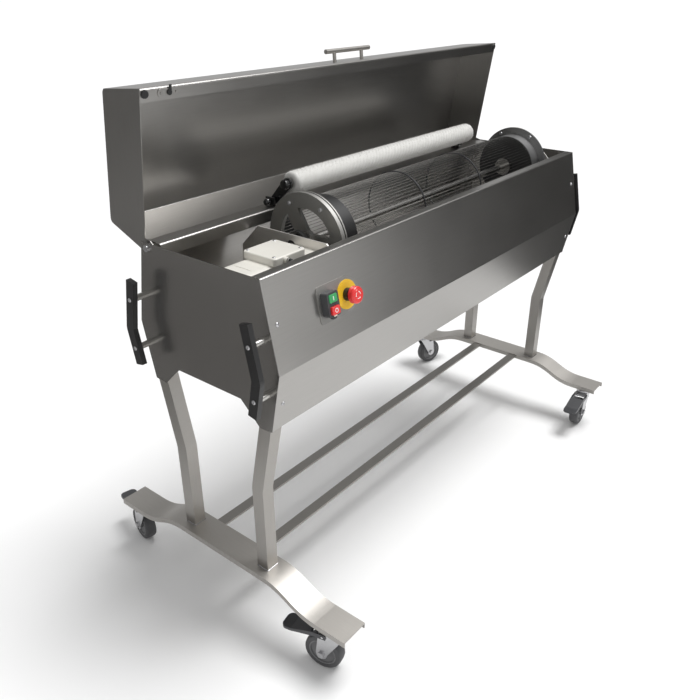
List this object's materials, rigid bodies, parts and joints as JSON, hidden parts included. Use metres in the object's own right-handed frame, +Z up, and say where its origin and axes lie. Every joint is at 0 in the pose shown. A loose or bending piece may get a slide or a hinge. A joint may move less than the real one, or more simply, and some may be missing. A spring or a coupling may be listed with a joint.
{
  "type": "drum trimming machine",
  "caption": "Wheeled stainless-steel drum trimming machine: open hinged lid, wire drum over a cutting reel, white brush roller, cream gearmotor and control switches.",
  "frame": {"origin": "on the floor, under the middle of the overall box with the casters turned as they stand; the middle of the trough is 38 mm to its left and 46 mm in front of it", "axes": "+X along the machine away from the motor end, +Y from the operator's side to the lid's hinge side, +Z up"},
  "size_m": [1.6795, 0.9271, 1.3474],
  "materials": {
    "stainless": "brushed to a soft mirror",
    "bright_steel": "bright drawn wire and turned bar",
    "aluminium": "machined",
    "grey_casting": "satin",
    "black_plastic": "matt moulded",
    "cream_paint": "semi-gloss paint",
    "dark_paint": "satin paint",
    "bristle": "dense white nylon pile",
    "black_rubber": "smooth",
    "tyre_grey": "smooth tread",
    "zinc": "bright zinc plate",
    "pedal_grey": "satin paint",
    "yellow_plastic": "satin",
    "red_plastic": "glossy",
    "green_plastic": "glossy",
    "grey_plastic": "satin",
    "blade_steel": "ground"
  },
  "bodies": {
    "machine": {"front_panel": "stainless", "rear_panel": "stainless", "trough_floor": "stainless", "left_end_panel": "stainless", "right_end_panel": "stainless", "left_bearing_plate": "stainless", "right_bearing_plate": "stainless", "shaft_bearings": "dark_paint", "gearmotor": "cream_paint", "terminal_box": "cream_paint", "reel_motor": "cream_paint", "drive_belt": "black_rubber", "bed_knife": "blade_steel", "brush_brackets": "black_plastic", "lid_pivot_bolts": "zinc", "handle_grips": "black_plastic", "handle_standoffs": "bright_steel", "case_screws": "zinc", "control_plate": "stainless", "switch_body": "grey_plastic", "estop_legend": "yellow_plastic", "estop_collar": "black_plastic", "legs": "stainless", "skids": "stainless", "stretchers": "stainless", "caster_plates": "zinc"},
    "lid": {"lid_shell": "stainless", "lid_ends": "stainless", "lid_handle": "stainless", "lid_bumpers": "black_rubber", "latch_plate": "zinc"},
    "latch": {"latch_lever": "black_plastic"},
    "drum": {"drum_wires": "bright_steel", "drum_hoops": "stainless", "drum_left_wheel": "aluminium", "drum_black_rings": "black_plastic", "drum_right_ring": "grey_casting", "drum_shaft": "bright_steel", "drum_bolts": "zinc"},
    "motor_drive": {"motor_pulley": "aluminium"},
    "reel": {"reel_shaft": "bright_steel", "reel_blades": "blade_steel"},
    "brush_frame": {"brush_arms": "black_plastic"},
    "brush": {"brush_pile": "bristle", "brush_core": "bright_steel"},
    "start": {"start_button": "green_plastic"},
    "stop": {"stop_button": "red_plastic"},
    "estop": {"estop_mushroom": "red_plastic"},
    "front_left_fork_body": {"front_left_fork": "zinc"},
    "front_left_wheel_body": {"front_left_wheel": "tyre_grey"},
    "front_left_pedal_body": {"front_left_pedal": "pedal_grey"},
    "front_right_fork_body": {"front_right_fork": "zinc"},
    "front_right_wheel_body": {"front_right_wheel": "tyre_grey"},
    "front_right_pedal_body": {"front_right_pedal": "pedal_grey"},
    "rear_left_fork_body": {"rear_left_fork": "zinc"},
    "rear_left_wheel_body": {"rear_left_wheel": "tyre_grey"},
    "rear_left_pedal_body": {"rear_left_pedal": "pedal_grey"},
    "rear_right_fork_body": {"rear_right_fork": "zinc"},
    "rear_right_wheel_body": {"rear_right_wheel": "tyre_grey"},
    "rear_right_pedal_body": {"rear_right_pedal": "pedal_grey"}
  },
  "joints": [
    {"name": "lid_hinge", "type": "hinge", "parent": "machine", "child": "lid", "pos_m": [-0.038, 0.122, 0.975], "axis": [1, 0, 0], "range_deg": [0, 81.7]},
    {"name": "latch_turn", "type": "hinge", "parent": "lid", "child": "latch", "pos_m": [-0.706, 0.09232, 1.30315], "axis": [0, -0.9895, -0.1444], "range_deg": [-40, 40]},
    {"name": "drum_spin", "type": "hinge", "parent": "machine", "child": "drum", "pos_m": [-0.038, -0.046, 0.936], "axis": [1, 0, 0], "continuous": true},
    {"name": "motor_drive_spin", "type": "hinge", "parent": "machine", "child": "motor_drive", "pos_m": [-0.471, -0.09, 0.896], "axis": [1, 0, 0], "continuous": true},
    {"name": "reel_spin", "type": "hinge", "parent": "machine", "child": "reel", "pos_m": [-0.038, -0.046, 0.8], "axis": [1, 0, 0], "continuous": true},
    {"name": "brush_swing", "type": "hinge", "parent": "machine", "child": "brush_frame", "pos_m": [0.062, 0.112, 1], "axis": [1, 0, 0], "range_deg": [0, 18]},
    {"name": "brush_spin", "type": "hinge", "parent": "brush_frame", "child": "brush", "pos_m": [0.062, 0.062, 1.05], "axis": [1, 0, 0], "continuous": true},
    {"name": "start_press", "type": "slide", "parent": "machine", "child": "start", "axis": [0, 0.98, -0.1988], "range_m": [0, 0.0015], "stiffness_N_per_m": 300, "springref_m": -0.001},
    {"name": "stop_press", "type": "slide", "parent": "machine", "child": "stop", "axis": [0, 0.98, -0.1988], "range_m": [0, 0.0035], "stiffness_N_per_m": 300, "springref_m": -0.001},
    {"name": "estop_press", "type": "slide", "parent": "machine", "child": "estop", "axis": [0, 0.98, -0.1988], "range_m": [0, 0.004], "stiffness_N_per_m": 600, "springref_m": -0.001},
    {"name": "rear_left_swivel", "type": "hinge", "parent": "machine", "child": "rear_left_fork_body", "pos_m": [-0.773, 0.319, 0.13], "axis": [0, 0, 1], "continuous": true},
    {"name": "rear_left_roll", "type": "hinge", "parent": "rear_left_fork_body", "child": "rear_left_wheel_body", "pos_m": [-0.76572, 0.35324, 0.05], "axis": [0.9781, -0.2079, 0], "continuous": true},
    {"name": "rear_left_brake", "type": "hinge", "parent": "rear_left_fork_body", "child": "rear_left_pedal_body", "pos_m": [-0.76676, 0.34834, 0.112], "axis": [0.9781, -0.2079, 0], "range_deg": [-12, 0]},
    {"name": "front_left_swivel", "type": "hinge", "parent": "machine", "child": "front_left_fork_body", "pos_m": [-0.773, -0.411, 0.13], "axis": [0, 0, 1], "continuous": true},
    {"name": "front_left_roll", "type": "hinge", "parent": "front_left_fork_body", "child": "front_left_wheel_body", "pos_m": [-0.78028, -0.37677, 0.05], "axis": [0.9781, 0.2079, 0], "continuous": true},
    {"name": "front_left_brake", "type": "hinge", "parent": "front_left_fork_body", "child": "front_left_pedal_body", "pos_m": [-0.77924, -0.38166, 0.112], "axis": [0.9781, 0.2079, 0], "range_deg": [-12, 0]},
    {"name": "front_right_swivel", "type": "hinge", "parent": "machine", "child": "front_right_fork_body", "pos_m": [0.697, -0.411, 0.13], "axis": [0, 0, 1], "continuous": true},
    {"name": "front_right_roll", "type": "hinge", "parent": "front_right_fork_body", "child": "front_right_wheel_body", "pos_m": [0.66205, -0.41283, 0.05], "axis": [-0.0523, 0.9986, 0], "continuous": true},
    {"name": "front_right_brake", "type": "hinge", "parent": "front_right_fork_body", "child": "front_right_pedal_body", "pos_m": [0.66704, -0.41257, 0.112], "axis": [-0.0523, 0.9986, 0], "range_deg": [-12, 0]},
    {"name": "rear_right_swivel", "type": "hinge", "parent": "machine", "child": "rear_right_fork_body", "pos_m": [0.697, 0.319, 0.13], "axis": [0, 0, 1], "continuous": true},
    {"name": "rear_right_roll", "type": "hinge", "parent": "rear_right_fork_body", "child": "rear_right_wheel_body", "pos_m": [0.73029, 0.30818, 0.05], "axis": [-0.309, -0.9511, 0], "continuous": true},
    {"name": "rear_right_brake", "type": "hinge", "parent": "rear_right_fork_body", "child": "rear_right_pedal_body", "pos_m": [0.72553, 0.30973, 0.112], "axis": [-0.309, -0.9511, 0], "range_deg": [-12, 0]}
  ],
  "couplings": [
    {"joint": "motor_drive_spin", "follows": "drum_spin", "ratio": 1.5}
  ]
}
